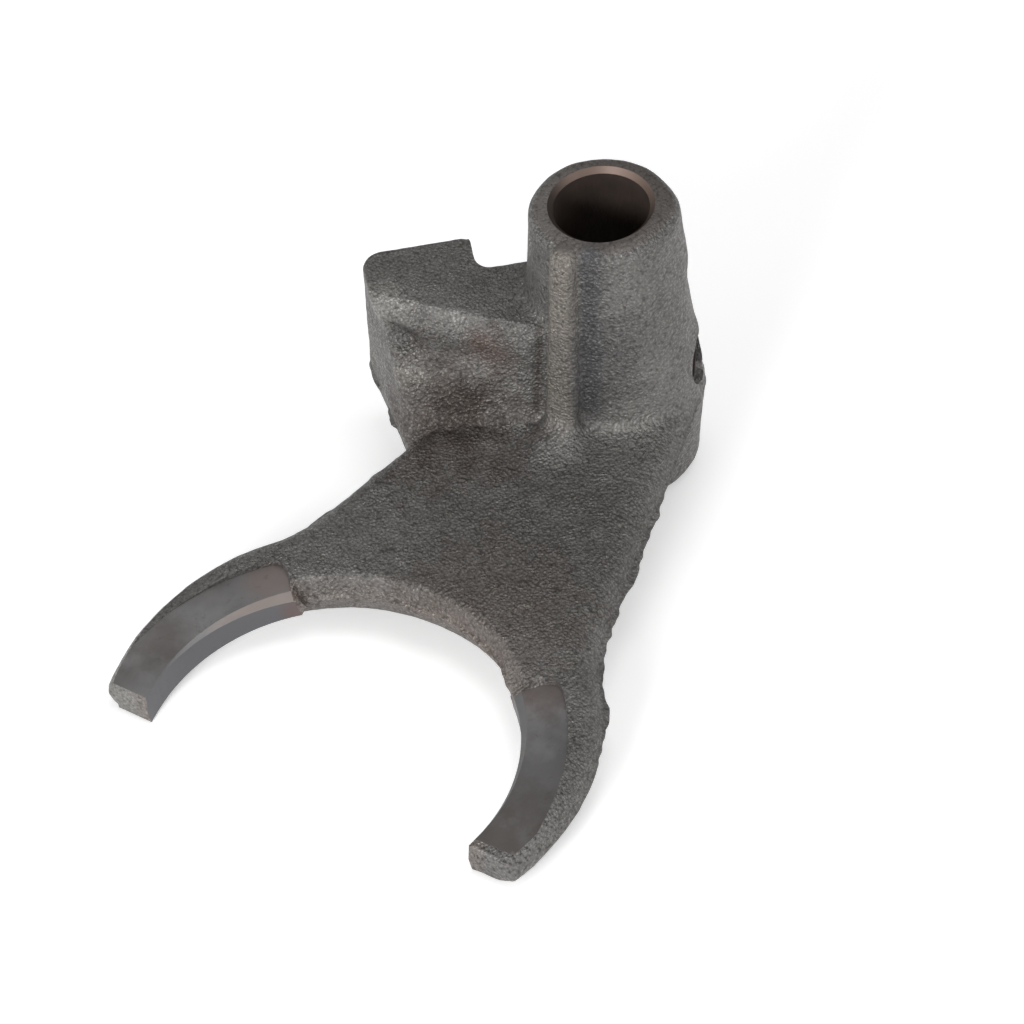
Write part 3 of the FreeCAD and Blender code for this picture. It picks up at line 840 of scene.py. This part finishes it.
def power_setting(name, description, value):
    """A lamp's power, with its default in watts."""
    return bpy.props.FloatProperty(name=name, description=description, default=value, min=0.0, unit="POWER")


def share_setting(name, description, value):
    """A strength between none and full."""
    return bpy.props.FloatProperty(name=name, description=description, default=value, min=0.0,
                                   subtype="FACTOR")


class ForkSettings(bpy.types.PropertyGroup):
    """Sizes and colours of the casting, and strengths of the studio's light"""
    swell: length_setting("Swell", "Height of the cast skin's slow unevenness", 0.16)
    lumps: length_setting("Lumps", "Height of the cast skin's short unevenness", 0.09)
    flash: length_setting("Flash", "Height of the flash's remains on the parting line", 1.1)
    grain: length_setting("Grain", "Depth of the shot-blasted grain", 0.64)
    skin_dark: colour_setting("Dark skin", "Darker tone of the cast skin", 97, 95, 93)
    skin_light: colour_setting("Light skin", "Lighter tone of the cast skin", 115, 113, 111)
    machined_dark: colour_setting("Dark machined", "Darker tone of the pads' faces", 108, 107, 107)
    machined_light: colour_setting("Light machined", "Lighter tone of the pads' faces", 130, 129, 129)
    chamfer_dark: colour_setting("Dark chamfer", "Darker tone of the pads' chamfers", 104, 103, 104)
    chamfer_light: colour_setting("Light chamfer", "Lighter tone of the pads' chamfers", 118, 117, 117)
    # The bores' tones are dark partly as painted shade of their depth
    bore_dark: colour_setting("Dark bore", "Darker tone of the bores", 48, 42, 39)
    bore_light: colour_setting("Light bore", "Lighter tone of the bores", 84, 72, 66)
    sky: share_setting("Sky", "Strength of the even studio light", 0.38)
    lift: share_setting("Lift", "How far the floor is lifted towards white", 0.37)
    front: power_setting("Front lamp", "Power of the lamp by the camera", 8.0)
    top: power_setting("Top lamp", "Power of the lamp above", 3.0)
    right: power_setting("Right lamp", "Power of the right lamp", 4.0)
    left: power_setting("Left lamp", "Power of the left lamp", 4.0)


class FORK_OT_casting(bpy.types.Operator):
    """Replace the plain casting by one with its cast skin and machined faces"""
    bl_idname = "shift_fork.casting"
    bl_label = "Make the casting"

    def execute(self, context):
        cast_grain_group()
        patches_group()
        make_casting(context.scene.shift_fork)
        return {"FINISHED"}


class FORK_OT_stage(bpy.types.Operator):
    """Set up the floor, the lights and the camera"""
    bl_idname = "shift_fork.stage"
    bl_label = "Make the studio"

    def execute(self, context):
        make_floor(context.scene.shift_fork)
        make_light(context.scene.shift_fork)
        make_camera()
        return {"FINISHED"}


class FORK_PT_panel(bpy.types.Panel):
    """Settings and steps of the shift fork"""
    bl_label = "Shift Fork"
    bl_idname = "FORK_PT_panel"
    bl_space_type = "VIEW_3D"
    bl_region_type = "UI"
    bl_category = "Shift Fork"

    def draw(self, context):
        for key in ForkSettings.__annotations__:
            self.layout.prop(context.scene.shift_fork, key)
        for step in STEPS:
            self.layout.operator(step.bl_idname)


STEPS = (FORK_OT_casting, FORK_OT_stage)
CLASSES = (ForkSettings, *STEPS, FORK_PT_panel)


def register():
    for cls in CLASSES:
        bpy.utils.register_class(cls)
    bpy.types.Scene.shift_fork = bpy.props.PointerProperty(type=ForkSettings)


def unregister():
    del bpy.types.Scene.shift_fork
    for cls in reversed(CLASSES):
        bpy.utils.unregister_class(cls)


def main():
    register()
    bpy.ops.shift_fork.casting()
    bpy.ops.shift_fork.stage()


if __name__ == "__main__":
    main()
